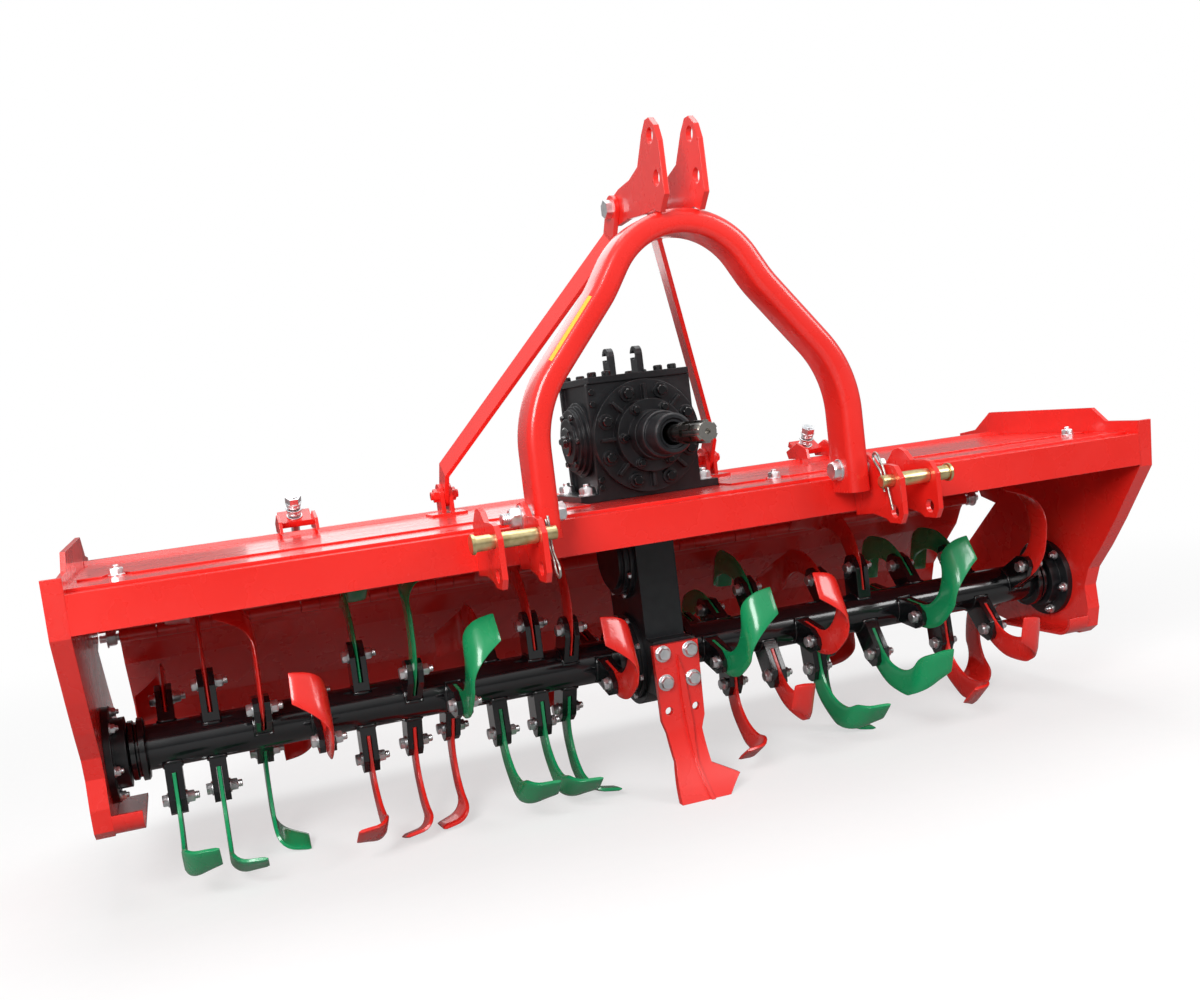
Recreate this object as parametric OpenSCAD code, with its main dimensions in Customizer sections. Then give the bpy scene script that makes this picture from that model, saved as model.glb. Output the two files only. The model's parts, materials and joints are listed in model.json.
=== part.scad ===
// Three-point linkage rotary tiller. Millimetres, +Z up.
// X runs along the rotor, the tractor stands on the -Y side, the ground is z = 0.
// Everything is drawn from the rotor axis and lifted to standing height at the end.

/* [Rotor] */
// Radius swept by the blade tips
tine_r = 245; // [215:1:275]
// Outer radius of the rotor tube
tube_r = 39; // [32:1:46]
// Wall of the rotor tube
tube_wall = 6; // [4:0.5:9]
// Thickness of a blade
blade_t = 8; // [6:0.5:10]
// Width of a blade's shank
blade_w = 48; // [40:1:54]
// How far the bent wing reaches sideways
wing_w = 60; // [45:1:64]
// Outer radius of the bend between shank and wing
bend_r = 26; // [18:1:34]
// Radius of the curve that sweeps the blade back
sweep_r = 118; // [100:1:140]
// How far the wing trails its socket, degrees
wing_trail = 15; // [8:1:20]
// Height of a blade socket above the tube
socket_h = 82; // [70:1:95]
// Thickness of a socket's cheek
cheek_t = 10; // [7:0.5:12]
// Radius of a blade bolt
blade_bolt_r = 7; // [6:0.5:8]

/* [Frame] */
// Width between the end plates
inner_w = 1940; // [1900:5:2200]
// Thickness of an end plate
plate_t = 8; // [5:0.5:12]
// Width of the flange turned outwards round an end plate
flange_w = 22; // [12:1:35]
// Front face of the beam ahead of the rotor axis
beam_front = 306; // [290:1:330]
// Depth of the beam
beam_d = 58; // [50:1:70]
// Height of the beam
beam_h = 61; // [50:1:70]
// Top of the beam above the rotor axis
beam_top = 307.5; // [300:0.5:330]
// Wall of the beam and the mast tube
wall = 5; // [3:0.5:8]
// Thickness of the hood and the tail board
sheet_t = 5; // [4:0.5:7]
// Offset of the gearbox, mast and hitch from the middle
drive_x = 25; // [-20:1:60]

/* [Hitch] */
// Outer half width of the mast arch
mast_half = 308; // [290:1:330]
// Width of the mast tube seen from the front
mast_bar = 44; // [36:1:52]
// Depth of the mast tube
mast_d = 62; // [50:1:72]
// Outer radius of the arch's shoulders
shoulder_r = 300; // [240:1:330]
// Outer radius of the arch's crown
crown_r = 76; // [66:1:110]
// Gap between the mast tube and the beam's front
mast_gap = 8; // [6:1:14]
// Length of a mast leg below its shoulder
leg_len = 88; // [80:1:120]
// Thickness of the hitch and top link plates
lug_t = 9; // [7:0.5:12]
// Clear width between the two plates of a lower hitch
lug_gap = 60; // [50:1:70]
// Radius of the lower hitch pins
pin_r = 11; // [9:0.5:14]
// Clear width between the two top link plates
top_gap = 60; // [52:1:70]
// Radius of the top link holes
top_hole_r = 12.7; // [10:0.1:15]

/* [Drive] */
// Height of the input shaft above the rotor axis
input_z = 423; // [415:1:440]
// Radius of the splined input shaft
input_r = 19; // [16:0.5:21]
// Width of the gearbox
box_w = 186; // [170:1:200]
// Depth of the gearbox
box_d = 164; // [150:1:180]
// Radius of the round cover behind the input shaft
cover_r = 103; // [95:1:108]
// Width of the drive case between the rotor halves
case_w = 77; // [66:1:84]
// Outer radius of the drive case round the rotor axis
case_r = 95; // [85:1:105]

/* [Tail board] */
// Gap between the tail board and each end plate
tail_gap = 35; // [15:1:60]
// Angle that the tail board can swing up, degrees
tail_travel = 35; // [20:1:38]
// Radius of the hinge rod
hinge_r = 8; // [6:0.5:10]
// Radius of a spring rod
rod_r = 8; // [6:0.5:9]
// Distance from the middle to the left spring rod
rod_left_x = 592; // [500:1:640]
// Distance from the middle to the right spring rod
rod_right_x = 511; // [440:1:640]

/* [Hidden] */
$fn = 48;
red = "#e8352b";
black = "#22252a";
green = "#1f9a55";
zinc = "#c9ccd0";
yellow_zinc = "#c9a94a";

// Clearance at pins, shafts and slots
fit = 0.3;
// Where the rotor axis stands above the ground and behind the middle of the machine
axis_z = tine_r;
half_w = inner_w / 2;
beam_back = -beam_front + beam_d;
beam_bottom = beam_top - beam_h;

// Draws its children from the rotor axis, at standing height
module place() { translate([0, axis_y, axis_z]) children(); }
// A plate whose outline is drawn in Y and Z, from x0 over the length len
module along_x(x0, len) {
  translate([x0, 0, 0]) rotate([90, 0, 90]) linear_extrude(len) children();
}
// A plate whose outline is drawn in X and Z, from y0 backwards over the length len
module along_y(y0, len) {
  translate([0, y0 + len, 0]) rotate([90, 0, 0]) linear_extrude(len) children();
}
// A bar of radius r along X or Y, through the given start point
module rod_x(x0, len, r, y = 0, z = 0) {
  translate([x0, y, z]) rotate([0, 90, 0]) cylinder(r = r, h = len);
}
module rod_y(y0, len, r, x = 0, z = 0) {
  translate([x, y0, z]) rotate([-90, 0, 0]) cylinder(r = r, h = len);
}
// A hexagon head or nut along X, by its width across the corners
module hex_x(x0, len, across, y = 0, z = 0) {
  translate([x0, y, z]) rotate([0, 90, 0]) cylinder(d = across, h = len, $fn = 6);
}
// A band of width t inside the points of an outline, with mitred corners
function left_of(v) = [-v[1], v[0]] / norm(v);
function inset(p, i, d) = let(
  before = left_of(p[max(i, 1)] - p[max(i, 1) - 1]),
  after = left_of(p[min(i, len(p) - 2) + 1] - p[min(i, len(p) - 2)])
) p[i] + d * (before + after) / (1 + before * after);
module band(points, t) {
  last = len(points) - 1;
  polygon(concat(points, [for (i = [last : -1 : 0]) inset(points, i, t)]));
}

// A bent sheet or bar of thickness t along the points, with mitred folds
module bent(points, t) {
  last = len(points) - 1;
  polygon(concat(
    [for (i = [0 : last]) inset(points, i, -t / 2)],
    [for (i = [last : -1 : 0]) inset(points, i, t / 2)]
  ));
}
// A rectangle with round corners, about its centre
module round_rect(w, h, r) {
  square([w - 2 * r, h], center = true);
  square([w, h - 2 * r], center = true);
  for (sx = [-1, 1], sy = [-1, 1]) translate([sx * (w / 2 - r), sy * (h / 2 - r)]) circle(r = r);
}

// Frame: beam, hood and end plates
hood_top = beam_top + sheet_t;
ridge_h = 10;
hood_rear = 158;
ridge_y = hood_rear - 22;
ridge_top = hood_top + ridge_h;
hinge_y = 222;
hinge_z = 170;
knuckle_r = hinge_r + 5;
rear_slope = [hinge_y - hood_rear, hinge_z - ridge_top + sheet_t / 2];
hood_end = [hinge_y, hinge_z] - rear_slope / norm(rear_slope) * (knuckle_r + fit);
hood_line = [
  [beam_back - 24, hood_top - sheet_t / 2], [ridge_y, hood_top - sheet_t / 2],
  [ridge_y + ridge_h, ridge_top - sheet_t / 2], [hood_rear, ridge_top - sheet_t / 2], hood_end
];
module front_beam() {
  color(red) place() difference() {
    translate([-half_w, -beam_front, beam_bottom]) cube([inner_w, beam_d, beam_h]);
    translate([-half_w - 1, -beam_front + wall, beam_bottom + wall])
      cube([inner_w + 2, beam_d - 2 * wall, beam_h - 2 * wall]);
  }
}
module hood() {
  color(red) place() along_x(-half_w, inner_w) bent(hood_line, sheet_t);
}
skid_z = -115;
front_edge = [
  [-beam_front - 2, beam_top + 25], [-beam_front + 4, beam_bottom - 4], [-223, 134], [-178, 77],
  [-134, 28], [-118, -10], [-122, -60], [-112, -100], [-90, skid_z], [150, skid_z], [300, -85]
];
rear_edge = [
  [372, -50], [376, -22], [262, 66], [154, 158], [204, 172], [262, 302], [262, hood_top + 9],
  [203, hood_top + 16], [146, hood_top + 54], [-183, hood_top + 50], [-219, beam_top + 27]
];
module end_plate(side) {
  flange_in = side > 0 ? half_w : -half_w - plate_t - flange_w;
  color(red) place() {
    along_x(side > 0 ? half_w : -half_w - plate_t, plate_t) polygon(concat(front_edge, rear_edge));
    along_x(flange_in, plate_t + flange_w) band(front_edge, 6);
  }
}
// Turned-in shoe under the front of each end plate
skid_w = 48;
module skid(side) {
  x0 = side > 0 ? half_w - skid_w : -half_w;
  color(red) place() along_x(x0, skid_w) {
    translate([-84, skid_z + 3]) square([200, 6]);
    translate([-84, skid_z + 41]) intersection() {
      difference() { circle(r = 38); circle(r = 32); }
      translate([-40, -40]) square([40, 40]);
    }
  }
}

// Lower hitch: two plates and a pin on each side
pin_y = -430;
pin_z = 302;
spare_z = 249;
front_reach = 456;
lug_in = mast_half + fit;
lug_outline = [
  [-beam_front, beam_bottom - 8], [-362, 243], [-400, 236], [-413, 229], [-445, 229],
  [-front_reach, 245], [-front_reach, 306], [-440, 326], [-422, 329], [-383, 329], [-366, 344], [-350, 350],
  [-332, 346], [-beam_front, beam_top + 14]
];
bolt_y = -beam_front - mast_gap - mast_d / 2;
bolt_z = beam_top + 18;
bolt_r = 10;
module lug(side) {
  color(red) place() difference() {
    for (k = [0, 1]) {
      near = lug_in + k * (lug_t + lug_gap);
      along_x(drive_x + (side > 0 ? near : -near - lug_t), lug_t) polygon(lug_outline);
    }
    reach = lug_in + 2 * lug_t + lug_gap + 1;
    x0 = drive_x + (side > 0 ? lug_in - 1 : -reach);
    rod_x(x0, reach - lug_in + 1, pin_r + fit, pin_y, pin_z);
    rod_x(x0, reach - lug_in + 1, pin_r + fit, pin_y, spare_z);
    rod_x(drive_x + (side > 0 ? lug_in - 1 : -lug_in - lug_t - 1), lug_t + 2, bolt_r + fit,
          bolt_y, bolt_z);
  }
}
module hitch_pin(side) {
  inner = lug_in - 22;
  outer = lug_in + 2 * lug_t + lug_gap;
  color(yellow_zinc) place() translate([drive_x, 0, 0]) {
    rod_x(side > 0 ? inner : -outer, outer - inner, pin_r, pin_y, pin_z);
    rod_x(side > 0 ? outer : -outer - 8, 8, pin_r + 6, pin_y, pin_z);
  }
}

// Mast: one square tube bent to an arch, its crown drawn as a piece of its own
leg_bottom = beam_top - 10;
shoulder_z = leg_bottom + leg_len;
lean = 45;
arch_y = -beam_front - mast_gap - mast_d / 2;
shoulder_x = mast_half - shoulder_r * (1 - cos(lean));
lean_top = [crown_r * sin(lean), shoulder_z + shoulder_r * sin(lean) + shoulder_x - crown_r * sin(lean)];
crown_z = lean_top[1] - crown_r * cos(lean);
lean_len = (shoulder_x - lean_top[0]) / sin(lean);
module tube_section(solid) {
  r = 10;
  if (solid) round_rect(mast_bar, mast_d, r);
  else round_rect(mast_bar - 2 * wall, mast_d - 2 * wall, r - wall);
}
module half_arch(solid) {
  more = solid ? 0 : 1;
  translate([mast_half - mast_bar / 2, arch_y, leg_bottom - more])
    linear_extrude(leg_len + more) tube_section(solid);
  translate([mast_half - shoulder_r, arch_y, shoulder_z]) rotate([90, 0, 0])
    rotate_extrude(angle = lean, $fn = 96) translate([shoulder_r - mast_bar / 2, 0])
      tube_section(solid);
  translate([shoulder_x, arch_y, shoulder_z + shoulder_r * sin(lean)]) rotate([0, -lean, 0])
    translate([-mast_bar / 2, 0, 0]) linear_extrude(lean_len) tube_section(solid);
}
module crown() {
  translate([0, arch_y, crown_z]) rotate([90, 0, 0]) rotate(90 - lean)
    rotate_extrude(angle = 2 * lean, $fn = 96) translate([crown_r - mast_bar / 2, 0])
      tube_section(true);
}
module mast_crown() { color(red) place() translate([drive_x, 0, 0]) crown(); }
module mast_arch() {
  color(red) place() translate([drive_x, 0, 0]) difference() {
    for (m = [0, 1]) mirror([m, 0, 0]) half_arch(true);
    for (m = [0, 1]) mirror([m, 0, 0]) half_arch(false);
    for (s = [-1, 1]) rod_x(s > 0 ? mast_half - mast_bar - 1 : -mast_half - 1, mast_bar + 2,
                            bolt_r + fit, bolt_y, bolt_z);
  }
}
module mast_bolts() {
  color(zinc) place() translate([drive_x, 0, 0]) for (s = [-1, 1])
    mirror([s < 0 ? 1 : 0, 0, 0]) {
      rod_x(mast_half - mast_bar, mast_bar + fit + lug_t + 26, bolt_r, bolt_y, bolt_z);
      hex_x(mast_half - mast_bar - 12, 12, 34, bolt_y, bolt_z);
      hex_x(lug_in + lug_t, 16, 34, bolt_y, bolt_z);
    }
}

// Top link plates stand on the crown, with a hole row in front and the brace bolt behind
crown_top = crown_z + crown_r;
top_in = top_gap / 2;
brace_y = -196;
brace_z = crown_top + 34;
top_outline = [
  [-392, crown_top - 10], [-416, crown_top + 14], [-415, crown_top + 70], [-414, crown_top + 98],
  [-404, crown_top + 124], [-386, crown_top + 140], [-370, crown_top + 140],
  [-350, crown_top + 122], [-318, crown_top + 78], [-276, crown_top + 66], [-222, crown_top + 62],
  [-178, crown_top + 52], [-168, crown_top + 34], [-174, crown_top + 14], [-196, crown_top + 4],
  [-250, crown_top + 6], [arch_y + mast_d / 2 - 8, crown_top], [arch_y - mast_d / 2 + 8, crown_top]
];
module top_link_plates() {
  color(red) place() translate([drive_x, 0, 0]) difference() {
    for (s = [-1, 1]) along_x(s > 0 ? top_in : -top_in - lug_t, lug_t) polygon(top_outline);
    rod_x(-100, 200, top_hole_r, -384, crown_top + 112);
    rod_x(-100, 200, top_hole_r, -392, crown_top + 44);
    rod_x(-100, 200, bolt_r + fit, brace_y, brace_z);
    crown();
    for (m = [0, 1]) mirror([m, 0, 0]) half_arch(true);
  }
}
module brace_bolt() {
  brace_t = 8;
  outer = top_in + lug_t + fit + brace_t;
  color(zinc) place() translate([drive_x, 0, 0]) {
    rod_x(-outer, 2 * outer, bolt_r, brace_y, brace_z);
    hex_x(-outer - 12, 12, 32, brace_y, brace_z);
    hex_x(outer, 16, 32, brace_y, brace_z);
  }
}

// Braces run from the brace bolt down to a foot on the hood
foot_left = [-341, 100];
foot_right = [213, 100];
foot_h = 58;
brace_t = 8;
brace_w = 46;
foot_bolt_r = 8;
bend_len = 56;
module brace(side, foot) {
  near = top_in + lug_t + fit;
  x_top = side > 0 ? near + brace_t / 2 : -near - brace_t / 2;
  pivot_z = hood_top + foot_h - 16;
  d = [foot[1] - brace_y, pivot_z - brace_z];
  len = norm(d);
  r = brace_w / 2;
  color(red) place() translate([drive_x, brace_y, brace_z]) rotate([atan2(d[0], -d[1]), 0, 0])
    difference() {
      intersection() {
        along_y(-r, brace_w) bent([
          [x_top, r], [x_top, -bend_len], [foot[0], bend_len - len], [foot[0], -len - r]
        ], brace_t);
        along_x(-500, 1000) {
          translate([-r, -len]) square([brace_w, len]);
          circle(r = r);
          translate([0, -len]) circle(r = r);
        }
      }
      rod_x(x_top - 20, 40, bolt_r + fit);
      rod_x(foot[0] - 20, 40, foot_bolt_r + fit, 0, -len);
    }
}

// Forked feet on the hood, each with the pivot bolt of its brace
foot_t = 8;
module brace_feet() {
  pivot_z = hood_top + foot_h - 16;
  inner = brace_t / 2 + fit;
  color(red) place() translate([drive_x, 0, 0]) for (foot = [foot_left, foot_right]) {
    translate([foot[0] - 34, foot[1] - 34, hood_top]) cube([68, 68, 8]);
    for (x = [foot[0] + inner, foot[0] - inner - foot_t]) along_x(x, foot_t) {
      translate([foot[1] - 22, hood_top + 8]) square([44, pivot_z - hood_top - 8]);
      translate([foot[1], pivot_z]) circle(r = 22);
    }
    rod_x(foot[0] - inner - foot_t - 14, 2 * (inner + foot_t + 14), foot_bolt_r, foot[1], pivot_z);
    for (x = [foot[0] - inner - foot_t - 9, foot[0] + inner + foot_t])
      hex_x(x, 9, 26, foot[1], pivot_z);
  }
}

// Gearbox on the hood, with its lid, its front cover and its side cover
base_z = hood_top;
box_z0 = base_z + 14;
lid_z = input_z + 104;
box_y0 = -box_d * 0.68;
shaft_fit = input_r + 6;
module gearbox() {
  color(black) place() translate([drive_x, 0, 0]) difference() {
    union() {
      translate([-box_w / 2 - 44, box_y0, base_z]) cube([box_w + 88, box_d, 14]);
      translate([-box_w / 2, box_y0, box_z0]) cube([box_w, box_d, lid_z - box_z0]);
      for (y = [box_y0, box_y0 + box_d - 10])
        translate([-box_w / 2 - 8, y, box_z0]) cube([box_w + 16, 10, lid_z - box_z0]);
    }
    rod_y(box_y0 - 1, 90, shaft_fit, 0, input_z);
  }
}
module gearbox_lid() {
  hook_h = 52;
  color(black) place() translate([drive_x, 0, 0]) {
    translate([-box_w / 2 - 6, box_y0 - 4, lid_z]) cube([box_w + 12, box_d + 8, 12]);
    for (x = [-38, 18]) along_x(x, 12) difference() {
      union() {
        translate([box_y0 + 40, lid_z + 12]) square([34, hook_h - 16]);
        translate([box_y0 + 57, lid_z + hook_h - 6]) circle(r = 17);
      }
      translate([box_y0 + 57, lid_z + hook_h - 6]) circle(r = 8);
      translate([box_y0 + 57, lid_z + hook_h - 10]) square([30, 8]);
    }
  }
}
cover_t = 16;
ring_r = 66;
boss_r = 45;
module gearbox_front() {
  y0 = box_y0 - cover_t;
  color(black) place() translate([drive_x, 0, 0]) difference() {
    union() {
      rod_y(y0, cover_t, cover_r, 0, input_z);
      rod_y(y0 - 22, 22, ring_r, 0, input_z);
      rod_y(y0 - 52, 30, boss_r, 0, input_z);
      for (k = [0 : 7]) translate([0, 0, input_z]) rotate([0, 22.5 + k * 45, 0])
        rod_y(y0 - 8, 8, 14, 0, cover_r - 18);
      for (k = [0 : 7]) translate([0, 0, input_z]) rotate([0, k * 45, 0])
        translate([-3, y0 - 12, ring_r - 2]) cube([6, 12, cover_r - ring_r - 8]);
      for (k = [0 : 5]) translate([0, 0, input_z]) rotate([0, 30 + k * 60, 0])
        rod_y(y0 - 28, 6, 9, 0, ring_r - 11);
    }
    rod_y(y0 - 60, 100, input_r + 4, 0, input_z);
  }
}
module gearbox_side() {
  x0 = -box_w / 2;
  y = box_y0 + box_d / 2;
  z = input_z + 4;
  color(black) place() translate([drive_x, 0, 0]) {
    rod_x(x0 - 8, 8, 70, y, z);
    rod_x(x0 - 16, 8, 64, y, z);
    rod_x(x0 - 24, 8, 58, y, z);
    rod_x(x0 - 30, 6, 42, y, z);
  }
}

// Drive case between the rotor halves
case_front = 95;
case_back = 74;
shaft_r = 30;
pad_y = -130;
module drive_case() {
  color(black) place() translate([drive_x, 0, 0]) difference() {
    union() {
      along_x(-case_w / 2, case_w) {
        translate([-case_front, 0]) square([case_front + case_back, hood_top - sheet_t]);
        circle(r = case_r, $fn = 96);
        translate([pad_y, -60]) square([-pad_y - 40, 104]);
      }
    }
    rod_x(-case_w, 2 * case_w, shaft_r + fit);
  }
}
cover_side_t = 24;
module case_covers() {
  x0 = -case_w / 2;
  color(black) place() translate([drive_x, 0, 0]) difference() {
    union() {
      for (z = [0, 196]) {
        rod_x(x0 - 8, 8, 84, 0, z);
        rod_x(x0 - 16, 8, 74, 0, z);
        rod_x(x0 - cover_side_t, 8, 62, 0, z);
      }
      rod_x(case_w / 2, 10, 76, 0, 0);
      rod_x(case_w / 2 + 10, 10, 60, 0, 0);
    }
    rod_x(-case_w, 2 * case_w, shaft_r + fit);
  }
}
// Shovel: a pressed plate that loosens the strip under the drive case
shovel_t = 12;
shovel_bend_z = -96;
shovel_r = 226;
shovel_outline = [
  [-45, 38], [45, 38], [42, -104], [33, -128], [36, -190], [84, -216], [50, -246], [-46, -246],
  [-40, -216], [-32, -180], [-36, -128], [-43, -104]
];
ridge_outline = [[0, 16], [9, -20], [15, -110], [10, -180], [18, -246], [10, -246], [-1, -60]];
module shovel_side(t0, t1) {
  translate([pad_y - t1, shovel_bend_z]) square([t1 - t0, 40 - shovel_bend_z]);
  translate([pad_y - t0 - shovel_r, shovel_bend_z]) intersection() {
    difference() { circle(r = shovel_r, $fn = 160); circle(r = shovel_r - (t1 - t0), $fn = 160); }
    translate([0, -shovel_r]) square([shovel_r, shovel_r]);
  }
}
module shovel() {
  color(red) place() translate([drive_x, 0, 0]) intersection() {
    union() {
      intersection() {
        along_x(-100, 200) shovel_side(0, shovel_t);
        along_y(-400, 400) difference() {
          polygon(shovel_outline);
          for (x = [-27, 27], z = [22, -32, -86]) translate([x, z]) circle(r = 7.5);
        }
      }
      intersection() {
        along_x(-100, 200) shovel_side(shovel_t - 1, shovel_t + 7);
        along_y(-400, 400) polygon(ridge_outline);
      }
    }
    translate([-120, -420, -tine_r]) cube([240, 420, 400]);
  }
}

// Rotor bearings on the end plates
stub_r = 25;
bearing_len = 34;
module bearing(side) {
  color(black) place() mirror([side < 0 ? 1 : 0, 0, 0]) difference() {
    union() {
      rod_x(half_w - 12, 12, 82);
      rod_x(half_w - bearing_len, bearing_len, 60);
    }
    rod_x(half_w - bearing_len - 1, bearing_len + 1 - 2, stub_r + fit);
  }
}

// Rotor: hub through the drive case and one tube with sockets on each side
left_end = -half_w + bearing_len + 8;
right_end = -left_end;
hub_left = drive_x - case_w / 2 - cover_side_t - 4;
hub_right = drive_x + case_w / 2 + 20 + 4;
flange_t = 14;
flange_r = 58;
module rotor_hub() {
  color(black) place() {
    rod_x(hub_left, hub_right - hub_left, shaft_r);
    rod_x(hub_left - flange_t, flange_t, flange_r);
    rod_x(hub_right, flange_t, flange_r);
    for (m = [0, 1]) mirror([m, 0, 0]) {
      rod_x(right_end, half_w - 4 - right_end, stub_r);
      rod_x(right_end, 6, tube_r + 4);
    }
  }
}
// Each blade: place along the rotor, angle from straight up towards the front, wing side
left_blades = [
  [-869, -45, -1], [-869, 170, 1], [-796, 5, -1], [-796, 185, 1], [-714, 60, -1], [-714, 230, 1],
  [-616, 105, -1], [-616, 285, -1], [-536, 0, 1], [-536, 180, -1], [-449, 50, 1], [-449, 200, -1],
  [-374, 95, 1], [-374, 212, -1], [-291, -40, -1], [-291, 175, 1], [-209, 0, -1], [-209, 180, 1],
  [-147, 30, -1], [-147, 205, 1], [-82, 105, -1], [-82, 285, -1]
];
right_blades = [
  [140, 105, 1], [140, 285, 1], [195, -60, 1], [195, 185, -1], [267, 150, -1], [267, -30, 1],
  [343, 102, -1], [376, 172, 1], [440, -40, -1], [440, 220, 1], [499, 148, 1], [499, 0, -1],
  [583, 97, 1], [583, 277, -1], [640, -40, 1], [682, 175, -1], [770, 140, -1], [770, -40, 1],
  [858, 60, -1], [858, 240, -1]
];
cheek_in = blade_t / 2 + fit;
cheek_out = cheek_in + cheek_t;
socket_w = blade_w + 2;
blade_bolt_z = tube_r + socket_h * 0.68;
// The socket's cheek: straight sides and a blunt point
module cheek_outline() {
  top = tube_r + socket_h;
  polygon([
    [-socket_w / 2, tube_r - 12], [socket_w / 2, tube_r - 12],
    [socket_w / 2, top - 26], [socket_w / 4, top - 4], [0, top], [-socket_w / 4, top - 4],
    [-socket_w / 2, top - 26]
  ]);
}
module socket() {
  difference() {
    union() {
      for (x = [cheek_in, -cheek_out]) along_x(x, cheek_t) cheek_outline();
      along_x(-cheek_out, 2 * cheek_out) translate([-socket_w / 2, tube_r - 12])
        square([socket_w, 22]);
    }
    rod_x(-cheek_out - 1, 2 * cheek_out + 2, blade_bolt_r + fit, 0, blade_bolt_z);
  }
}
module rotor_half(x0, x1, blades) {
  color(black) place() difference() {
    union() {
      rod_x(x0, x1 - x0, tube_r);
      for (b = blades) translate([b[0], 0, 0]) rotate([b[1], 0, 0]) socket();
    }
    rod_x(x0 - 1, x1 - x0 + 2, tube_r - tube_wall);
  }
}
// One C-shaped blade, pointing up, swept back towards +Y, wing towards +X
shank_z = tube_r + 10 + fit;
curve_z = tube_r + socket_h + 6;
wing_z = sqrt(tine_r * tine_r - 34 * 34);
module blade_side() {
  intersection() {
    union() {
      translate([-blade_w / 2, shank_z]) square([blade_w, curve_z - shank_z]);
      translate([sweep_r, curve_z]) intersection() {
        difference() {
          circle(r = sweep_r + blade_w / 2, $fn = 96);
          circle(r = sweep_r - blade_w / 2, $fn = 96);
        }
        translate([-2 * sweep_r, 0]) square([2 * sweep_r - 34, 2 * sweep_r]);
      }
    }
    circle(r = tine_r, $fn = 120);
  }
}
// The bend from shank to wing, as a strip in X and Z
module blade_bend() {
  square_top = wing_z - bend_r;
  translate([0, 0]) square([blade_t, square_top]);
  translate([bend_r, square_top]) intersection() {
    difference() { circle(r = bend_r); circle(r = bend_r - blade_t); }
    translate([-bend_r, 0]) square([bend_r, bend_r]);
  }
  translate([bend_r, wing_z - blade_t]) square([wing_w - bend_r, blade_t]);
}
module blade() {
  translate([-blade_t / 2, 0, 0]) difference() {
    intersection() {
      along_x(0, wing_w) blade_side();
      rotate([-wing_trail, 0, 0]) along_y(-160, 320) blade_bend();
    }
    rod_x(-1, blade_t + 2, blade_bolt_r + fit, 0, blade_bolt_z);
  }
}
module blade_set(blades, hand, paint) {
  color(paint) place() for (b = blades) if (b[2] == hand)
    translate([b[0], 0, 0]) rotate([b[1], 0, 0]) mirror([hand < 0 ? 1 : 0, 0, 0]) blade();
}
module blade_bolts(blades) {
  color(zinc) place() for (b = blades) translate([b[0], 0, 0]) rotate([b[1], 0, 0]) {
    rod_x(-cheek_out, 2 * cheek_out + 18, blade_bolt_r, 0, blade_bolt_z);
    hex_x(-cheek_out - 9, 9, 24, 0, blade_bolt_z);
    hex_x(cheek_out, 12, 24, 0, blade_bolt_z);
  }
}

// Input shaft with six splines and a locking groove
shaft_tip_y = -392;
spline_len = 76;
module input_shaft() {
  back = box_y0 + 60;
  color(zinc) place() translate([drive_x, 0, 0]) difference() {
    union() {
      rod_y(shaft_tip_y, back - shaft_tip_y, input_r - 3, 0, input_z);
      rod_y(shaft_tip_y + spline_len, 20, input_r, 0, input_z);
      for (k = [0 : 5]) translate([0, 0, input_z]) rotate([0, k * 60, 0])
        translate([-4.5, shaft_tip_y + 3, input_r - 6]) cube([9, spline_len, 6]);
    }
    rod_y(shaft_tip_y - 1, 12, 5, 0, input_z);
    rod_y_ring(shaft_tip_y + 30, 8, input_r - 2.5, input_r + 4);
  }
}
module rod_y_ring(y0, len, r_in, r_out) {
  difference() {
    rod_y(y0, len, r_out, 0, input_z);
    rod_y(y0 - 1, len + 2, r_in, 0, input_z);
  }
}

// Tail board, hinged on a rod along the hood's rear edge
tail_half = half_w - tail_gap;
board_line = [
  [hinge_y + 13, hinge_z - 14], [262, 112], [322, 56], [370, 10], [385, -32], [394, -104],
  [410, -110]
];
axis_y = (front_reach - inset(board_line, len(board_line) - 1, sheet_t / 2)[0]) / 2;
knuckle_w = 60;
knuckles = 7;
pitch = 2 * tail_half / knuckles;
module tail_hinge() {
  color(red) place() {
    rod_x(-tail_half, 2 * tail_half, hinge_r, hinge_y, hinge_z);
    for (k = [0 : knuckles - 1]) {
      x0 = -tail_half + k * pitch + pitch / 2 - knuckle_w / 2;
      rod_x(x0, knuckle_w, knuckle_r, hinge_y, hinge_z);
    }
  }
}
// The board carries hinge eyes between the knuckles and forked lugs for the spring rods
rod_lug = [336, 84];
lug_half = 14;
module tail_board() {
  color(red) place() difference() {
    union() {
      along_x(-tail_half, 2 * tail_half) {
        bent(board_line, sheet_t);
      }
      for (k = [1 : knuckles - 1]) along_x(-tail_half + k * pitch - knuckle_w / 2, knuckle_w) {
        translate([hinge_y, hinge_z]) circle(r = knuckle_r);
        bent([[hinge_y, hinge_z], board_line[0] + [2, -2.2]], sheet_t);
      }
      for (x = [-rod_left_x, rod_right_x], s = [-1, 1])
        along_x(x + (s > 0 ? lug_half : -lug_half - 6), 6) {
          translate(rod_lug) circle(r = 18);
          polygon([[326, 99], [297, 80], [340, 40], [352, 76]]);
        }
    }
    rod_x(-half_w, inner_w, hinge_r + fit, hinge_y, hinge_z);
    for (x = [-rod_left_x, rod_right_x])
      rod_x(x - 40, 80, rod_r + fit, rod_lug[0], rod_lug[1]);
  }
}

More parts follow.
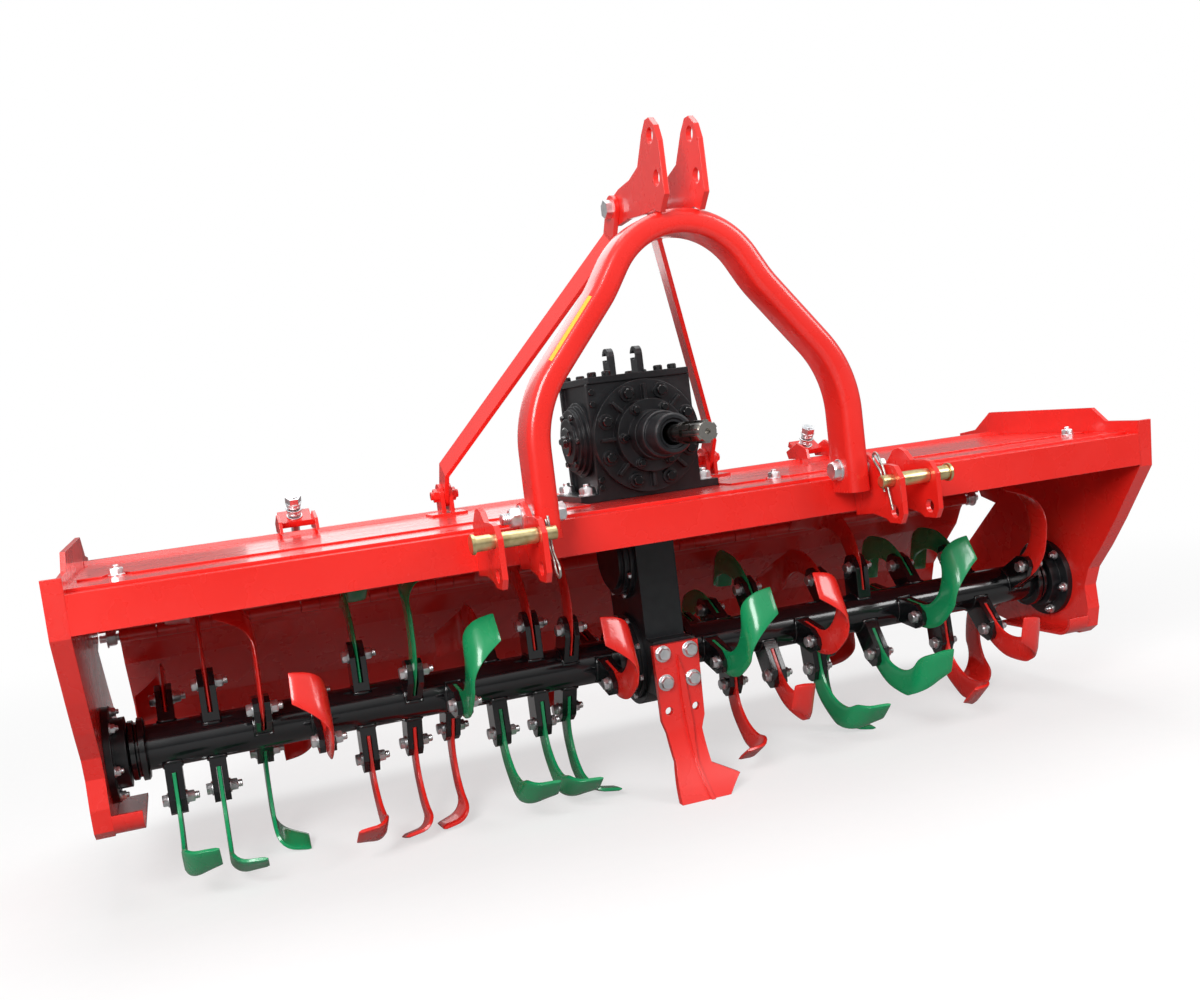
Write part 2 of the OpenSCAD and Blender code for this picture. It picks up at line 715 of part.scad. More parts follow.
// Spring rods from the tail board through guides on the hood
guide = [hood_rear + 24, ridge_top + 22];
rod_dir = (guide - rod_lug) / norm(guide - rod_lug);
rod_tilt = atan2(-rod_dir[0], rod_dir[1]);
rod_above = 52;
spring_r = 15;
module at_rod(x) {
  translate([x, rod_lug[0], rod_lug[1]]) rotate([rod_tilt, 0, 0]) children();
}
rod_len = norm(guide - rod_lug) + rod_above;
guide_h = 12;
guide_play = 3.5;
module rod_guides() {
  slide = norm(guide - rod_lug);
  color(red) place() for (x = [-rod_left_x, rod_right_x]) {
    at_rod(x) difference() {
      translate([-30, -20, slide - guide_h / 2]) cube([60, 40, guide_h]);
      translate([0, 0, slide - guide_h]) cylinder(r = rod_r + guide_play, h = 2 * guide_h);
    }
    for (s = [-1, 1]) along_x(x + (s > 0 ? 30 : -36), 6)
      polygon([
        [hood_rear - 50, ridge_top], [hood_rear - 44, ridge_top + 22], [hood_rear - 6, ridge_top + 34],
        [hood_rear + 44, ridge_top + 16], [hood_rear + 36, ridge_top]
      ]);
  }
}
module spring_rod(x) {
  color(zinc) place() {
    at_rod(x) {
      difference() {
        union() {
          cylinder(r = rod_r, h = rod_len);
          translate([0, 0, rod_len - 14]) cylinder(d = 30, h = 12, $fn = 6);
          translate([-lug_half + 2, 0, 0]) rotate([0, 90, 0]) cylinder(r = 14, h = 2 * lug_half - 4);
        }
      }
    }
    rod_x(x - lug_half - 10, 2 * lug_half + 20, rod_r, rod_lug[0], rod_lug[1]);
  }
}
module spring(x) {
  slide = norm(guide - rod_lug);
  color(zinc) place() at_rod(x) translate([0, 0, slide + guide_h / 2 + fit]) difference() {
    cylinder(r = spring_r, h = rod_above - 14 - guide_h / 2 - fit);
    translate([0, 0, -1]) cylinder(r = rod_r + fit, h = rod_above);
  }
}

front_beam();
hood();
end_plate(-1);  // end_plate_left
end_plate(1);  // end_plate_right
skid(-1);  // skid_left
skid(1);  // skid_right
lug(-1);  // lug_left
lug(1);  // lug_right
hitch_pin(-1);  // hitch_pin_left
hitch_pin(1);  // hitch_pin_right
mast_arch();
mast_crown();
mast_bolts();
top_link_plates();
brace(-1, foot_left);  // brace_left
brace(1, foot_right);  // brace_right
brace_bolt();
brace_feet();
gearbox();
gearbox_lid();
gearbox_front();
gearbox_side();
drive_case();
case_covers();
shovel();
bearing(-1);  // bearing_left
bearing(1);  // bearing_right
tail_hinge();
rod_guides();
input_shaft();
rotor_hub();
rotor_half(left_end, hub_left - flange_t, left_blades);  // rotor_left
rotor_half(hub_right + flange_t, right_end, right_blades);  // rotor_right
blade_set(left_blades, -1, red);  // blades_left_red
blade_set(left_blades, 1, green);  // blades_left_green
blade_set(right_blades, -1, red);  // blades_right_red
blade_set(right_blades, 1, green);  // blades_right_green
blade_bolts(left_blades);  // blade_bolts_left
blade_bolts(right_blades);  // blade_bolts_right
tail_board();
spring_rod(-rod_left_x);  // rod_left
spring_rod(rod_right_x);  // rod_right
spring(-rod_left_x);  // spring_left
spring(rod_right_x);  // spring_right
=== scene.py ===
import json
import math
import random

import bmesh
import bpy
from mathutils import Matrix, Vector


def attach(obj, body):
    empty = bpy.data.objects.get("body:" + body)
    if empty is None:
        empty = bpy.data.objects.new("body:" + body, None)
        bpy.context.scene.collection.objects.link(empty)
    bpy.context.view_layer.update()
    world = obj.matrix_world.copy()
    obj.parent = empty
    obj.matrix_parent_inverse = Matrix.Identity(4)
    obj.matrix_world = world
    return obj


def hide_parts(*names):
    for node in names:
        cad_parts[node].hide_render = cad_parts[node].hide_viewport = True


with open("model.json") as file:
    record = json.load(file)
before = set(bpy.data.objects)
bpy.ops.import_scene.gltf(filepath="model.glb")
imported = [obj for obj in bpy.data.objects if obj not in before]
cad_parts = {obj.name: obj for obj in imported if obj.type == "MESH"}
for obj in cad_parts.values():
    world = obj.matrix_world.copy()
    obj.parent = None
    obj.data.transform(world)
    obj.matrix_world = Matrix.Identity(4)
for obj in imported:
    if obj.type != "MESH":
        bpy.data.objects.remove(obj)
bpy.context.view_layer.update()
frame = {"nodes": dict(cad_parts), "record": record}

# Camera: it stands in front of the machine, left of its middle and a little above the rotor,
# held slightly askew. Places are given in millimetres from the middle of the rotor axis.
rotor_axis = next(Vector(j["pos_m"]) for j in frame["record"]["behaviour"]["joints"]
                  if j["name"] == "rotor_spin")


def at(x, y, z):
    return rotor_axis + Vector((x, y, z)) / 1000


camera_place = at(-798.82, -2215.29, 474.35)
yaw, pitch, roll = math.radians(18.5194), math.radians(-4.9661), math.radians(-6.9751)
look = Vector((math.sin(yaw) * math.cos(pitch), math.cos(yaw) * math.cos(pitch), math.sin(pitch)))
level = Vector((math.cos(yaw), -math.sin(yaw), 0))
upright = level.cross(look)
to_right = math.cos(roll) * level + math.sin(roll) * upright
to_top = -math.sin(roll) * level + math.cos(roll) * upright
camera_data = bpy.data.cameras.new("camera")
camera_data.lens = 36.774
camera_data.shift_x = 0.00571
camera_data.shift_y = 0.01708
camera_data.clip_end = 60
camera = bpy.data.objects.new("camera", camera_data)
camera.matrix_world = Matrix.Translation(camera_place) @ Matrix(
    (to_right, to_top, -look)).transposed().to_4x4()
bpy.context.scene.collection.objects.link(camera)
bpy.context.scene.camera = camera
bpy.context.scene.view_settings.view_transform = "Standard"


# Floor: a pale, matt studio floor that takes the machine's shadow and fades to white round it.
# To everything but the camera it is darker. Noise scales count cells to the metre.
def srgb(code):
    parts = [int(code[i:i + 2], 16) / 255 for i in (1, 3, 5)]
    return [p / 12.92 if p <= 0.04045 else ((p + 0.055) / 1.055) ** 2.4 for p in parts] + [1]


def add(tree, kind, links=None, **settings):
    made = tree.nodes.new(kind)
    for name, value in settings.items():
        setattr(made, name, value)
    for name, value in (links or {}).items():
        if isinstance(value, bpy.types.NodeSocket):
            tree.links.new(value, made.inputs[name])
        else:
            made.inputs[name].default_value = value
    return made


def material(name):
    made = bpy.data.materials.new(name)
    made.use_nodes = True
    made.node_tree.nodes.clear()
    return made, made.node_tree


floor_paint, tree = material("matt_floor_paint")
fade_from, fade_to, floor_reach = 0.9, 3.4, 14.0
tone_off_camera = 0.34
where = add(tree, "ShaderNodeTexCoord").outputs["Object"]
grain = add(tree, "ShaderNodeTexNoise", {"Vector": where, "Scale": 35.0, "Detail": 3.0})
tone = add(tree, "ShaderNodeMapRange", {
    "Value": grain.outputs["Fac"], "To Min": 0.90, "To Max": 0.94})
from_camera = add(tree, "ShaderNodeLightPath").outputs["Is Camera Ray"]
seen_tone = add(tree, "ShaderNodeMix", {
    "Factor": from_camera, 2: tone_off_camera, 3: tone.outputs["Result"]})
matt = add(tree, "ShaderNodeBsdfDiffuse", {"Color": seen_tone.outputs[0]})
away = add(tree, "ShaderNodeVectorMath", {0: where}, operation="LENGTH")
fade = add(tree, "ShaderNodeMapRange", {
    "Value": away.outputs["Value"], "From Min": fade_from, "From Max": fade_to,
    "To Min": 0.6, "To Max": 1.0}, interpolation_type="SMOOTHSTEP")
shown = add(tree, "ShaderNodeMath", {0: fade.outputs["Result"], 1: from_camera},
            operation="MULTIPLY")
pale = add(tree, "ShaderNodeEmission", {"Color": (1, 1, 1, 1), "Strength": 1.0})
ground = add(tree, "ShaderNodeMixShader", {
    0: shown.outputs[0], 1: matt.outputs[0], 2: pale.outputs[0]})
add(tree, "ShaderNodeOutputMaterial", {"Surface": ground.outputs[0]})
floor_mesh = bpy.data.meshes.new("floor")
floor_mesh.from_pydata([(floor_reach * x, floor_reach * y, 0)
                        for x, y in ((-1, -1), (1, -1), (1, 1), (-1, 1))], [], [(0, 1, 2, 3)])
floor_mesh.materials.append(floor_paint)
floor = bpy.data.objects.new("floor", floor_mesh)
bpy.context.scene.collection.objects.link(floor)

# Studio: a white room. The camera sees it plain white, gloss sees it brighten from the ground
# to overhead, and it lights everything softly.
world = bpy.data.worlds.new("studio")
world.use_nodes = True
bpy.context.scene.world = world
tree = world.node_tree
tree.nodes.clear()
soft_light, seen_white = 0.26, 1.0
path = add(tree, "ShaderNodeLightPath")
seen = add(tree, "ShaderNodeMath", {
    0: path.outputs["Is Camera Ray"], 1: path.outputs["Is Transmission Ray"]},
    operation="MAXIMUM")
height = add(tree, "ShaderNodeSeparateXYZ", {
    0: add(tree, "ShaderNodeTexCoord").outputs["Generated"]})
sky = add(tree, "ShaderNodeMapRange", {
    "Value": height.outputs["Z"], "From Min": -0.1, "From Max": 0.75,
    "To Min": 0.16, "To Max": 0.80}, interpolation_type="SMOOTHSTEP")
gloss_or_plain = add(tree, "ShaderNodeMix", {
    "Factor": path.outputs["Is Glossy Ray"], 2: soft_light, 3: sky.outputs["Result"]})
strength = add(tree, "ShaderNodeMix", {
    "Factor": seen.outputs[0], 2: gloss_or_plain.outputs[0], 3: seen_white})
white = add(tree, "ShaderNodeBackground", {
    "Color": (1, 1, 1, 1), "Strength": strength.outputs[0]})
add(tree, "ShaderNodeOutputWorld", {"Surface": white.outputs[0]})

# Lamps: four square soft boxes. The one in front on the left is the main light; the others
# lift the right side, the top and the back.
for name, place, aim, size_m, power_w in (
    ("soft_box_front_left", (-2600, -3300, 2300), (0, 0, 250), 2.0, 175),
    ("soft_box_front_right", (2500, -2300, 1900), (200, 0, 300), 1.4, 46),
    ("soft_box_above", (100, 300, 3300), (0, 0, 200), 2.6, 58),
    ("soft_box_behind", (600, 3400, 1700), (0, 0, 300), 2.4, 24),
):
    lamp = bpy.data.lights.new(name, "AREA")
    lamp.shape, lamp.size, lamp.energy = "SQUARE", size_m, power_w
    holder = bpy.data.objects.new(name, lamp)
    holder.location = at(*place)
    holder.rotation_euler = (at(*aim) - at(*place)).to_track_quat("-Z", "Y").to_euler()
    bpy.context.scene.collection.objects.link(holder)


# Enamel: folded and welded steel, sprayed with a thick gloss enamel, so it shows a faint orange
# peel and rounded edges. Red on the frame, the tail board and half of the blades, green on the
# other blades, black on the rotor's tubes.
def enamel(name, paint, deep, rough, edge_mm):
    made, tree = material(name)
    peel_mm, peel_deep = 3.0, 0.0006
    where = add(tree, "ShaderNodeTexCoord").outputs["Object"]
    cloud = add(tree, "ShaderNodeTexNoise", {"Vector": where, "Scale": 3.2, "Detail": 2.0})
    shade = add(tree, "ShaderNodeMapRange", {
        "Value": cloud.outputs["Fac"], "From Min": 0.3, "From Max": 0.7})
    colour = add(tree, "ShaderNodeMix", {
        "Factor": shade.outputs["Result"], 6: srgb(deep), 7: srgb(paint)}, data_type="RGBA")
    peel = add(tree, "ShaderNodeTexNoise", {
        "Vector": where, "Scale": 1000 / peel_mm, "Detail": 1.0})
    worn = add(tree, "ShaderNodeTexNoise", {"Vector": where, "Scale": 14.0, "Detail": 4.0})
    dull = add(tree, "ShaderNodeMapRange", {
        "Value": worn.outputs["Fac"], "From Min": 0.35, "From Max": 0.75,
        "To Min": rough, "To Max": rough + 0.10})
    edge = add(tree, "ShaderNodeBevel", {"Radius": edge_mm / 1000}, samples=6)
    bump = add(tree, "ShaderNodeBump", {
        "Height": peel.outputs["Fac"], "Normal": edge.outputs[0],
        "Strength": 0.10, "Distance": peel_deep})
    skin = add(tree, "ShaderNodeBsdfPrincipled", {
        "Base Color": colour.outputs[2], "Roughness": dull.outputs["Result"],
        "Normal": bump.outputs[0], "Coat Normal": bump.outputs[0], "IOR": 1.5,
        "Coat Weight": 0.5, "Coat Roughness": 0.08, "Coat IOR": 1.5})
    add(tree, "ShaderNodeOutputMaterial", {"Surface": skin.outputs[0]})
    return made


red_enamel = enamel("red_gloss_enamel", "#F02D25", "#E6231B", rough=0.24, edge_mm=1.6)
green_enamel = enamel("green_gloss_enamel", "#17A164", "#0F8F57", rough=0.22, edge_mm=1.2)
black_enamel = enamel("black_gloss_enamel", "#121417", "#0C0D0F", rough=0.13, edge_mm=1.5)

# Black castings: the gearbox, drive case and bearings are grey iron cast in sand and sprayed
# satin black, so the sand's grain shows through the paint.
cast_black, tree = material("satin_black_on_cast_iron")
cast_edge, grain_deep = 0.0025, 0.0006
where = add(tree, "ShaderNodeTexCoord").outputs["Object"]
sand = add(tree, "ShaderNodeTexNoise", {
    "Vector": where, "Scale": 420.0, "Detail": 3.0, "Roughness": 0.6})
swell = add(tree, "ShaderNodeTexNoise", {"Vector": where, "Scale": 45.0, "Detail": 2.0})
tone = add(tree, "ShaderNodeMapRange", {
    "Value": swell.outputs["Fac"], "From Min": 0.3, "From Max": 0.7})
colour = add(tree, "ShaderNodeMix", {
    "Factor": tone.outputs["Result"], 6: srgb("#16181B"), 7: srgb("#202326")}, data_type="RGBA")
dull = add(tree, "ShaderNodeMapRange", {
    "Value": swell.outputs["Fac"], "To Min": 0.26, "To Max": 0.42})
edge = add(tree, "ShaderNodeBevel", {"Radius": cast_edge}, samples=6)
rough_cast = add(tree, "ShaderNodeBump", {
    "Height": sand.outputs["Fac"], "Normal": edge.outputs[0],
    "Strength": 0.22, "Distance": grain_deep})
skin = add(tree, "ShaderNodeBsdfPrincipled", {
    "Base Color": colour.outputs[2], "Roughness": dull.outputs["Result"],
    "Normal": rough_cast.outputs[0]})
add(tree, "ShaderNodeOutputMaterial", {"Surface": skin.outputs[0]})


# Plated and bright steel: bolts, rods and springs are zinc plated, the hitch pins yellow
# passivated, and the spring clips bright; fine tool marks and patches break the shine.
def plated(name, light, dark, patches_per_m, rough):
    made, tree = material(name)
    marks_mm, marks_deep = 0.8, 0.0002
    where = add(tree, "ShaderNodeTexCoord").outputs["Object"]
    patch = add(tree, "ShaderNodeTexNoise", {
        "Vector": where, "Scale": patches_per_m, "Detail": 3.0})
    mix = add(tree, "ShaderNodeMapRange", {
        "Value": patch.outputs["Fac"], "From Min": 0.35, "From Max": 0.65})
    colour = add(tree, "ShaderNodeMix", {
        "Factor": mix.outputs["Result"], 6: srgb(dark), 7: srgb(light)}, data_type="RGBA")
    dull = add(tree, "ShaderNodeMapRange", {
        "Value": patch.outputs["Fac"], "To Min": rough, "To Max": rough + 0.16})
    fine = add(tree, "ShaderNodeTexNoise", {
        "Vector": where, "Scale": 1000 / marks_mm, "Detail": 2.0})
    bump = add(tree, "ShaderNodeBump", {
        "Height": fine.outputs["Fac"], "Strength": 0.15, "Distance": marks_deep})
    skin = add(tree, "ShaderNodeBsdfPrincipled", {
        "Base Color": colour.outputs[2], "Metallic": 1.0,
        "Roughness": dull.outputs["Result"], "Normal": bump.outputs[0]})
    add(tree, "ShaderNodeOutputMaterial", {"Surface": skin.outputs[0]})
    return made


zinc = plated("zinc_plated_steel", "#F1F2F3", "#D6D9DC", patches_per_m=60, rough=0.30)
yellow_zinc = plated("yellow_passivated_zinc", "#E2D2A0", "#C6B078", patches_per_m=70, rough=0.24)
spring_steel = plated("bright_spring_steel", "#B9B6B0", "#8D8A84", patches_per_m=90, rough=0.28)

# Input shaft: splined steel, dark with oil and grease; only its tip, which has been wiped,
# shines. The shaft's length runs along Y, so the wiped end stays in place as it turns.
oily_steel, tree = material("oiled_spline_steel")
wiped_to, oily_from = rotor_axis.y - 0.388, rotor_axis.y - 0.372
along = add(tree, "ShaderNodeSeparateXYZ", {
    0: add(tree, "ShaderNodeNewGeometry").outputs["Position"]})
wiped = add(tree, "ShaderNodeMapRange", {
    "Value": along.outputs["Y"], "From Min": wiped_to, "From Max": oily_from,
    "To Min": 1.0, "To Max": 0.0})
film = add(tree, "ShaderNodeTexNoise", {
    "Vector": add(tree, "ShaderNodeTexCoord").outputs["Object"], "Scale": 90.0, "Detail": 3.0})
tone = add(tree, "ShaderNodeMix", {
    "Factor": film.outputs["Fac"], 6: srgb("#2A2723"), 7: srgb("#57514A")}, data_type="RGBA")
tone = add(tree, "ShaderNodeMix", {
    "Factor": wiped.outputs["Result"], 6: tone.outputs[2], 7: srgb("#C9C5BE")}, data_type="RGBA")
skin = add(tree, "ShaderNodeBsdfPrincipled", {
    "Base Color": tone.outputs[2], "Metallic": 1.0, "Roughness": 0.26,
    "Coat Weight": 0.4, "Coat Roughness": 0.1})
add(tree, "ShaderNodeOutputMaterial", {"Surface": skin.outputs[0]})

# Solids of the frame: each takes the finish that the record names for it, and those that no
# piece below replaces keep their CAD shape.
finishes = {"red_paint": red_enamel, "green_paint": green_enamel, "black_paint": black_enamel,
            "black_castings": cast_black, "zinc_plate": zinc, "yellow_zinc": yellow_zinc,
            "bare_steel": oily_steel}
for part in frame["record"]["subparts"]:
    slots = frame["nodes"][part["node"]].data.materials
    slots.clear()
    slots.append(finishes[part["material_slot"]])


# Hood sheets: two sheets of 3.2 mm steel lie on the hood up to its ridge, welded to it and painted
# with it. Their front edges are cut back round the bolts that hold the hood to the beam.
def solid(name, bm, paint, body, crease=32):
    bmesh.ops.recalc_face_normals(bm, faces=bm.faces)
    mesh = bpy.data.meshes.new(name)
    bm.to_mesh(mesh)
    bm.free()
    mesh.transform(Matrix.Translation(rotor_axis) @ Matrix.Scale(0.001, 4))
    mesh.materials.append(paint)
    mesh.shade_smooth()
    mesh.set_sharp_from_angle(angle=math.radians(crease))
    made = bpy.data.objects.new(name, mesh)
    bpy.context.scene.collection.objects.link(made)
    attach(made, body)
    return made


def loft(bm, loops, closed=False):
    made = [[bm.verts.new(point) for point in loop] for loop in loops]
    pairs = list(zip(made, made[1:])) + ([(made[-1], made[0])] if closed else [])
    for near, far in pairs:
        for k in range(len(near)):
            n = (k + 1) % len(near)
            bm.faces.new((near[k], near[n], far[n], far[k]))
    if not closed:
        bm.faces.new(made[0][::-1])
        bm.faces.new(made[-1])


hood_top, hood_bolts = 312.5, (-904, 257, 930)
sheet_front, sheet_back, sheet_lift, sheet_t = -166, 128, 0.1, 3.2
cut_back = ((-27, 0), (-22, 3), (-15, 22), (-10, 25), (10, 25), (15, 22), (22, 3), (27, 0))
bm = bmesh.new()
for left, right in ((-962, -113), (163, 962)):
    edge = [(left, sheet_front)]
    for x in hood_bolts:
        if left < x < right:
            edge += [(x + aside, sheet_front + back) for aside, back in cut_back]
    edge += [(right, sheet_front), (right, sheet_back), (left, sheet_back)]
    loft(bm, [[Vector((x, y, hood_top + z)) for x, y in edge]
              for z in (sheet_lift, sheet_lift + sheet_t)])
solid("hood_sheets", bm, red_enamel, "frame", crease=20)


# Hood screws: zinc plated hexagon bolts on round washers, three through the hood into the beam
# and four larger ones in the gearbox's feet. A turned shape is a row of rings, each with its
# distance along the way, its radius and, if it isn't round, its number of corners.
def turned(bm, foot, way, rings, sides=24, bored=False):
    way = Vector(way).normalized()
    across = way.orthogonal().normalized()
    other = way.cross(across)
    loops = []
    for along, radius, *corners in rings:
        loop = []
        for k in range(sides):
            turn = 2 * math.pi * k / sides
            reach = radius
            if corners:
                step = 2 * math.pi / corners[0]
                reach *= math.cos(step / 2) / math.cos(turn % step - step / 2)
            loop.append(Vector(foot) + along * way
                        + reach * (math.cos(turn) * across + math.sin(turn) * other))
        loops.append(loop)
    loft(bm, loops, bored)


def hex_bolt(bm, foot, way, corners, height, washer_r=0.0, stud=0.0, stud_r=0.0):
    washer_t, thread_pitch = 2.5, 3.0
    r, base = corners / 2, 0.0
    if washer_r:
        base = washer_t
        turned(bm, foot, way, [(0, washer_r), (base - 0.5, washer_r), (base, washer_r - 0.7)])
    top = base + height
    rings = [(base, r * 0.93), (base + height * 0.12, r, 6), (base + height * 0.80, r, 6),
             (top, r * 0.80)]
    if stud:
        rings += [(top + 0.1, stud_r)]
        turns = max(1, int(stud / thread_pitch))
        for k in range(turns):
            rings += [(top + (k + 0.35) * stud / turns, stud_r * 0.92),
                      (top + (k + 0.85) * stud / turns, stud_r)]
        rings += [(top + stud + 1.0, stud_r * 0.78)]
    turned(bm, foot, way, rings)


drive_x, foot_top = 25, 326.5
to_left, to_front, upwards = (-1, 0, 0), (0, -1, 0), (0, 0, 1)
bm = bmesh.new()
for x in hood_bolts:
    hex_bolt(bm, (x, -154, hood_top), upwards, corners=24, height=10, washer_r=13,
             stud=4, stud_r=5)
for x, y in ((-116, -90), (116, -90), (-116, 32), (116, 32)):
    hex_bolt(bm, (drive_x + x, y, foot_top), upwards, corners=30, height=13, washer_r=17,
             stud=5, stud_r=7)
solid("hood_screws", bm, zinc, "frame")


# Bearing screws: six zinc plated bolts hold each bearing to its end plate. The hinge rod's ends
# show above them, each with a nut. A ring of bolts counts its angles from the level upwards.
def bolt_ring(bm, centre, way, radius, count, first, **bolt):
    level = Vector((1, 0, 0) if way[1] else (0, 1, 0))
    for k in range(count):
        turn = math.radians(first + 360 / count * k)
        out = math.cos(turn) * level + math.sin(turn) * Vector(upwards)
        hex_bolt(bm, Vector(centre) + radius * out, way, **bolt)


plate_in, bearing_t = 970, 12
hinge_y, hinge_z, hinge_rod_r = 222, 170, 8
bm = bmesh.new()
for side in (-1, 1):
    inwards = (-side, 0, 0)
    bolt_ring(bm, (side * (plate_in - bearing_t), 0, 0), inwards, radius=71, count=6, first=12,
              corners=17, height=7, washer_r=10, stud=4, stud_r=4.5)
    hex_bolt(bm, (side * (plate_in - 13), hinge_y, hinge_z), inwards, corners=34, height=15,
             washer_r=19)
    turned(bm, (side * (plate_in - 0.5), hinge_y, hinge_z), inwards,
           [(0, hinge_rod_r), (34, hinge_rod_r)])
solid("bearing_screws", bm, zinc, "frame")

# Seal rings: at each end of the rotor two turned steel rings with a groove between them keep
# the soil out of the bearing. They turn with the rotor and are painted black with it.
seal_end = 934
seal_profile = [(0, 30), (0, 48), (2, 51), (10, 51), (12, 47), (15, 47), (17, 54), (26, 54),
                (29, 50), (30, 40)]
bm = bmesh.new()
for side in (-1, 1):
    turned(bm, (side * seal_end, 0, 0), (-side, 0, 0), seal_profile, sides=48)
solid("seal_rings", bm, black_enamel, "rotor")

# Mast: one steel tube with rounded corners, bent to an arch in a press, bolted to the hitch
# plates and painted red. It takes the place of the arch and of its crown. Each leg bends in at
# the shoulder, out again at the waist and over at the crown.
beam_top = 307.5
mast_half, mast_bar, mast_d, mast_y, corner_r = 300, 40, 74, -345, 13
mast_foot, leg, straight = beam_top - 22, 139, 130
shoulder, waist, crown, lean, crown_lean = 214, 203, 156, 40, 32


def arc(centre, radius, start, stop):
    steps = 16
    turns = [math.radians(start + (stop - start) * i / steps) for i in range(steps + 1)]
    return [(centre[0] + radius * math.cos(turn), centre[1] + radius * math.sin(turn))
            for turn in turns]


turn_1, turn_2 = math.radians(lean), math.radians(crown_lean)
c1 = (mast_half - shoulder, mast_foot + leg)
top1 = (c1[0] + shoulder * math.cos(turn_1) - straight * math.sin(turn_1),
        c1[1] + shoulder * math.sin(turn_1) + straight * math.cos(turn_1))
c2 = (top1[0] + waist * math.cos(turn_1), top1[1] + waist * math.sin(turn_1))
top2 = (c2[0] - waist * math.cos(turn_2), c2[1] - waist * math.sin(turn_2))
neck = (top2[0] - crown * math.cos(turn_2)) / math.sin(turn_2)
crown_z = top2[1] + neck * math.cos(turn_2) - crown * math.sin(turn_2)
half = ([(mast_half, mast_foot), (mast_half, beam_top + 40)] + arc(c1, shoulder, 0, lean)
        + arc(c2, waist, 180 + lean, 180 + crown_lean) + arc((0, crown_z), crown, crown_lean, 90))
outline = half + [(-x, z) for x, z in reversed(half[:-1])]
far_in, far_back = mast_bar - corner_r, mast_d - corner_r
section = []
for corner_in, corner_back, start in ((corner_r, corner_r, 180), (far_in, corner_r, 270),
                                      (far_in, far_back, 0), (corner_r, far_back, 90)):
    for turn in (math.radians(start + 18 * k) for k in range(6)):
        section.append((corner_in + corner_r * math.cos(turn),
                        corner_back + corner_r * math.sin(turn)))
loops = []
for i, (x, z) in enumerate(outline):
    before, after = outline[max(i - 1, 0)], outline[min(i + 1, len(outline) - 1)]
    way = Vector((after[0] - before[0], 0, after[1] - before[1])).normalized()
    inward = Vector((-way.z, 0, way.x))
    loops.append([Vector((drive_x + x + into * inward.x, mast_y - mast_d / 2 + back,
                          z + into * inward.z)) for into, back in section])
bm = bmesh.new()
loft(bm, loops)
mast_tube = solid("mast_tube", bm, red_enamel, "frame", crease=50)
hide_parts("mast_arch", "mast_crown")

# Yellow stripe: a strip of film stuck round the outer front edge of the mast's left leg, on the
# straight above the shoulder.
stripe_film, tree = material("yellow_gloss_film")
grain = add(tree, "ShaderNodeTexNoise", {
    "Vector": add(tree, "ShaderNodeTexCoord").outputs["Object"], "Scale": 220.0, "Detail": 2.0})
tone = add(tree, "ShaderNodeMix", {
    "Factor": grain.outputs["Fac"], 6: srgb("#F2B632"), 7: srgb("#FFCB4F")}, data_type="RGBA")
skin = add(tree, "ShaderNodeBsdfPrincipled", {"Base Color": tone.outputs[2], "Roughness": 0.3})
add(tree, "ShaderNodeOutputMaterial", {"Surface": skin.outputs[0]})
outward = Vector((-math.cos(turn_1), 0, math.sin(turn_1)))
along = Vector((math.sin(turn_1), 0, math.cos(turn_1)))
corner = Vector((drive_x - c1[0], mast_y - mast_d / 2 + corner_r, c1[1]))
corner += (shoulder - corner_r) * outward
stripe_from, stripe_long, steps = 4, 122, 8
under, over = corner_r - 0.3, corner_r + 0.5
edges = [(under, 12), (under, 30), (under, 48), (over, 48), (over, 30), (over, 12)]
bm = bmesh.new()
loft(bm, [[corner + (stripe_from + stripe_long * step / steps) * along
           + reach * (math.cos(math.radians(turn)) * outward
                      + math.sin(math.radians(turn)) * Vector(to_front))
           for reach, turn in edges] for step in range(steps + 1)])
solid("mast_stripe", bm, stripe_film, "frame")

# Mast bolts: one zinc plated hexagon bolt through each foot of the mast and the hitch plate
# beside it, with a spacer between the two and a nut and the thread's end outside.
bolt_z, bolt_r, spacer_r, spacer_t = beam_top + 18, 9.6, 18, 7.7
lug_in, lug_t, lug_gap = 308.3, 9, 60
bolt_long = mast_bar + 8 + lug_t + 3
bm = bmesh.new()
for side in (-1, 1):
    inwards, outwards = (-side, 0, 0), (side, 0, 0)
    tube_in, tube_out, lug_out = ((drive_x + side * x, mast_y, bolt_z) for x in (
        mast_half - mast_bar, mast_half, lug_in + lug_t))
    hex_bolt(bm, tube_in, inwards, corners=34, height=14, washer_r=19)
    turned(bm, tube_in, outwards, [(0, bolt_r), (bolt_long, bolt_r)])
    turned(bm, tube_out, outwards, [(0, spacer_r), (spacer_t, spacer_r)])
    hex_bolt(bm, lug_out, outwards, corners=34, height=16, washer_r=19, stud=13, stud_r=bolt_r)
mast_screws = solid("mast_screws", bm, zinc, "frame")
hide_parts("mast_bolts")

# Hitch pins: turned steel pins, yellow passivated, through the two plates on each side, with a
# fatter part between the plates and outside them, and a collar at the outer end.
pin_y, pin_z, pin_inside = -430, 302, 22
pin_r, fat_r, collar_r = 10.8, 12.2, 15.5
gap_in = pin_inside + lug_t
gap_out = gap_in + lug_gap
plates_out = gap_out + lug_t
pin_profile = [
    (0, 8.5), (1.5, pin_r), (gap_in + 0.5, pin_r), (gap_in + 1.5, fat_r), (gap_out - 1.5, fat_r),
    (gap_out - 0.5, pin_r), (plates_out + 5, pin_r), (plates_out + 5.5, fat_r),
    (plates_out + 29, fat_r), (plates_out + 30, collar_r), (plates_out + 34.5, collar_r),
    (plates_out + 35.5, collar_r - 1)]
bm = bmesh.new()
for side in (-1, 1):
    turned(bm, (drive_x + side * (lug_in - pin_inside), pin_y, pin_z), (side, 0, 0),
           pin_profile, sides=40)
hitch_pins = solid("hitch_pins", bm, yellow_zinc, "frame", crease=28)
